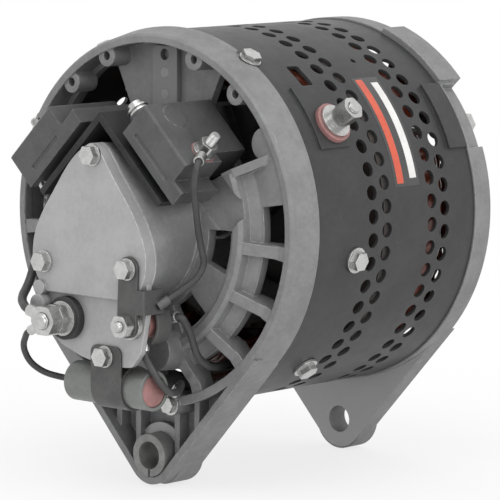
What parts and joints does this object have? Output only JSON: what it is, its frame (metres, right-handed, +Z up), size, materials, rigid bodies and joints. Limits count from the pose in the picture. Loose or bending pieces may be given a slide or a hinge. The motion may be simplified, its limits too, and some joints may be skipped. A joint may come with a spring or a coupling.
{
  "type": "alternator",
  "caption": "Brushed alternator: perforated shell between lugged cast end housings, pointed collector cover, block heat sinks, leads and a stepped, keyed pulley shaft.",
  "frame": {"origin": "on the shaft's axis, at the step where a pulley's hub seats", "axes": "+X along the shaft out of the drive end, +Z up with the hinge lugs at the bottom"},
  "size_m": [0.2545, 0.1828, 0.2133],
  "materials": {
    "cast_grey": "rough cast",
    "cover_grey": "fine cast",
    "shell_black": "satin",
    "sink_black": "satin",
    "zinc": "zinc plated",
    "dark_steel": "oiled",
    "shaft_steel": "ground",
    "bearing_steel": "polished",
    "insulator_black": "moulded",
    "insulator_red": "moulded",
    "capacitor_grey": "satin",
    "lead_black": "satin",
    "gasket": "fibre",
    "lamination": "varnished",
    "winding": "varnished copper",
    "copper": "turned",
    "carbon": "carbon",
    "spring_steel": "drawn"
  },
  "bodies": {
    "frame": {"rear_housing": "cast_grey", "front_housing": "cast_grey", "collector_cover": "cover_grey", "cover_gasket": "gasket", "cover_screws": "zinc", "shell": "shell_black", "shell_screws": "zinc", "shell_nuts": "zinc", "shell_insulators": "insulator_red", "terminal_studs": "zinc", "terminal_nuts": "zinc", "output_insulator": "insulator_black", "relay_insulator": "insulator_red", "terminal_link": "dark_steel", "terminal_clip": "dark_steel", "small_studs": "zinc", "small_nuts": "zinc", "sink_washers": "insulator_red", "capacitor": "capacitor_grey", "capacitor_seal": "insulator_red", "capacitor_strap": "dark_steel", "heat_sink_right": "sink_black", "heat_sink_left": "sink_black", "sink_bracket": "sink_black", "diodes": "zinc", "bracket_screws": "zinc", "ground_screw": "zinc", "ring_terminals": "zinc", "output_lead": "lead_black", "capacitor_lead": "lead_black", "sink_lead": "lead_black", "phase_lead": "lead_black", "ground_lead": "lead_black", "through_bolts": "zinc", "bearing_retainer": "shaft_steel", "retainer_screws": "dark_steel", "stator_core": "lamination", "stator_winding": "winding", "brush_holder": "insulator_black", "brush_spring_outer": "spring_steel", "brush_spring_inner": "spring_steel", "rear_bearing_outer_ring": "bearing_steel", "front_bearing_outer_ring": "bearing_steel"},
    "rotor": {"shaft": "shaft_steel", "spacer": "shaft_steel", "pole_rear": "lamination", "pole_front": "lamination", "coil_bobbin": "insulator_black", "field_coil": "winding", "fan_rear": "dark_steel", "fan_front": "dark_steel", "slip_ring_hub": "insulator_black", "slip_rings": "copper", "rear_bearing_inner_ring": "bearing_steel", "front_bearing_inner_ring": "bearing_steel"},
    "rear_balls": {"rear_bearing_balls": "bearing_steel"},
    "front_balls": {"front_bearing_balls": "bearing_steel"},
    "outer_brush": {"brush_outer": "carbon"},
    "inner_brush": {"brush_inner": "carbon"},
    "bush": {"lug_bush": "shaft_steel"}
  },
  "joints": [
    {"name": "rotor_spin", "type": "hinge", "parent": "frame", "child": "rotor", "pos_m": [0, 0, 0], "axis": [1, 0, 0], "continuous": true},
    {"name": "rear_balls_spin", "type": "hinge", "parent": "frame", "child": "rear_balls", "pos_m": [0, 0, 0], "axis": [1, 0, 0], "continuous": true},
    {"name": "front_balls_spin", "type": "hinge", "parent": "frame", "child": "front_balls", "pos_m": [0, 0, 0], "axis": [1, 0, 0], "continuous": true},
    {"name": "outer_brush_slide", "type": "slide", "parent": "frame", "child": "outer_brush", "axis": [0, 0, -1], "range_m": [0, 0.004], "stiffness_N_per_m": 200, "springref_m": -0.012, "deforming": ["brush_spring_outer"]},
    {"name": "inner_brush_slide", "type": "slide", "parent": "frame", "child": "inner_brush", "axis": [0, 0, -1], "range_m": [0, 0.004], "stiffness_N_per_m": 200, "springref_m": -0.012, "deforming": ["brush_spring_inner"]},
    {"name": "lug_bush_slide", "type": "slide", "parent": "frame", "child": "bush", "axis": [1, 0, 0], "range_m": [-0.002, 0.003]}
  ],
  "couplings": [
    {"joint": "rear_balls_spin", "follows": "rotor_spin", "ratio": 0.3807},
    {"joint": "front_balls_spin", "follows": "rotor_spin", "ratio": 0.3678}
  ]
}
